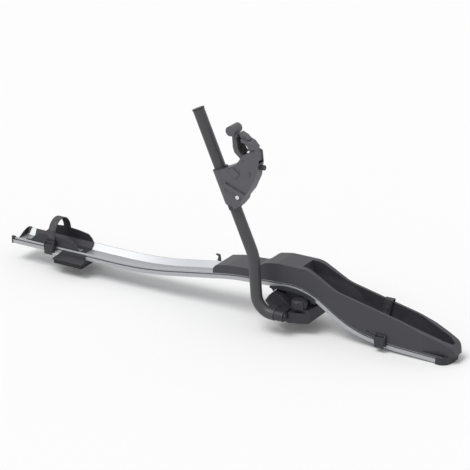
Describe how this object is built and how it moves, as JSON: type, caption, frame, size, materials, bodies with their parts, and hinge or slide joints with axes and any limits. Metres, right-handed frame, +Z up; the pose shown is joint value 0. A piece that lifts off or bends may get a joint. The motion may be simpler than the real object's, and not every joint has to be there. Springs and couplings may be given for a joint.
{
  "type": "roof mounted bike carrier",
  "caption": "Roof bar bike carrier: bowed aluminium rail with front wheel pan, strapped rear wheel tray, and a swinging bent arm with a sliding frame claw.",
  "frame": {"origin": "middle of the front seat on the roof bar, on the plane of the bars' tops", "axes": "+X along the rail to the front of the vehicle, +Y to the far side, away from the arm, +Z up"},
  "size_m": [1.4134, 0.1924, 0.6068],
  "materials": {
    "rail_aluminium": "satin anodised",
    "pan_plastic": "fine grained dark grey",
    "tray_plastic": "fine grained black",
    "cap_plastic": "moulded black",
    "strap_rubber": "matt",
    "pad_rubber": "matt",
    "arm_steel": "satin black powder coat",
    "claw_plastic": "moulded grey",
    "bolt_steel": "zinc plated",
    "lock_chrome": "polished"
  },
  "bodies": {
    "carrier": {"rail": "rail_aluminium", "rear_end_cap": "cap_plastic", "front_end_cap": "cap_plastic", "front_wheel_pan": "pan_plastic", "pan_screws": "bolt_steel", "pan_catch": "pan_plastic", "front_strap": "strap_rubber", "front_buckle": "tray_plastic", "front_buckle_pin": "bolt_steel", "front_base": "tray_plastic", "base_saddle": "tray_plastic", "front_base_pad": "pad_rubber", "base_screws": "bolt_steel", "knob_washer": "bolt_steel"},
    "knob": {"clamp_knob": "tray_plastic"},
    "front_bolt": {"front_t_bolt": "bolt_steel"},
    "arm": {"arm_tube": "arm_steel", "arm_cap": "cap_plastic", "arm_shaft": "bolt_steel", "arm_retainer": "bolt_steel"},
    "liner": {"sleeve_liner": "cap_plastic"},
    "claw": {"claw_sleeve": "claw_plastic", "claw_near_shell": "claw_plastic", "claw_far_shell": "claw_plastic", "shell_screws": "bolt_steel", "jaw_pin": "bolt_steel", "front_jaw": "claw_plastic", "front_jaw_pad": "pad_rubber", "lever_pin": "bolt_steel", "height_latch": "claw_plastic"},
    "rear_finger": {"rear_jaw": "claw_plastic", "rear_jaw_pad": "pad_rubber"},
    "button": {"release_button": "cap_plastic"},
    "lock": {"lock_cylinder": "lock_chrome"},
    "lever": {"clamp_lever": "claw_plastic"},
    "tray": {"rear_wheel_tray": "tray_plastic", "rear_strap": "strap_rubber", "rear_buckle": "tray_plastic", "rear_buckle_pin": "bolt_steel"},
    "rear_strap_lever": {"rear_buckle_lever": "tray_plastic"},
    "front_strap_lever": {"front_buckle_lever": "tray_plastic"},
    "foot": {"rear_foot": "tray_plastic", "rear_foot_pad": "pad_rubber", "rear_foot_nut": "bolt_steel", "rear_t_bolt": "bolt_steel"}
  },
  "joints": [
    {"name": "knob_turn", "type": "hinge", "parent": "carrier", "child": "knob", "pos_m": [0.019, -0.056, 0.042], "axis": [0, 0, 1], "range_deg": [0, 2880]},
    {"name": "front_bolt_drop", "type": "slide", "parent": "carrier", "child": "front_bolt", "axis": [0, 0, 1], "range_m": [-0.0102, 0]},
    {"name": "arm_swing", "type": "hinge", "parent": "carrier", "child": "arm", "pos_m": [0, -0.1, 0.026], "axis": [1, 0, 0], "range_deg": [-15, 85]},
    {"name": "claw_slide", "type": "slide", "parent": "arm", "child": "liner", "axis": [-0.4098, 0, 0.9122], "range_m": [-0.1, 0.12]},
    {"name": "claw_turn", "type": "hinge", "parent": "liner", "child": "claw", "pos_m": [-0.18016, -0.1, 0.365], "axis": [-0.4098, 0, 0.9122], "range_deg": [0, 90]},
    {"name": "rear_jaw_open", "type": "hinge", "parent": "claw", "child": "rear_finger", "pos_m": [-0.12283, -0.1, 0.45214], "axis": [0, -1, 0], "range_deg": [0, 38]},
    {"name": "release_press", "type": "slide", "parent": "claw", "child": "button", "axis": [-0.9972, 0, -0.0751], "range_m": [0, 0.004], "stiffness_N_per_m": 900, "springref_m": -0.002},
    {"name": "lock_turn", "type": "hinge", "parent": "claw", "child": "lock", "pos_m": [-0.13545, -0.122, 0.34869], "axis": [0, 1, 0], "range_deg": [0, 90]},
    {"name": "sleeve_lever_open", "type": "hinge", "parent": "claw", "child": "lever", "pos_m": [-0.17334, -0.1249, 0.37682], "axis": [-0.3358, 0, -0.9419], "range_deg": [0, 100]},
    {"name": "tray_slide", "type": "slide", "parent": "carrier", "child": "tray", "axis": [1, 0, 0], "range_m": [-0.015, 0.05]},
    {"name": "rear_strap_lever_open", "type": "hinge", "parent": "tray", "child": "rear_strap_lever", "pos_m": [-0.805, -0.0535, 0.04612], "axis": [-1, 0, 0], "range_deg": [0, 75]},
    {"name": "front_strap_lever_open", "type": "hinge", "parent": "carrier", "child": "front_strap_lever", "pos_m": [0.2244, -0.0507, 0.00667], "axis": [-1, 0, 0], "range_deg": [0, 75]},
    {"name": "foot_slide", "type": "slide", "parent": "carrier", "child": "foot", "axis": [1, 0, 0], "range_m": [-0.09, 0.08]}
  ],
  "couplings": [
    {"joint": "front_bolt_drop", "follows": "knob_turn", "m_per_rad": -0.00019894}
  ]
}
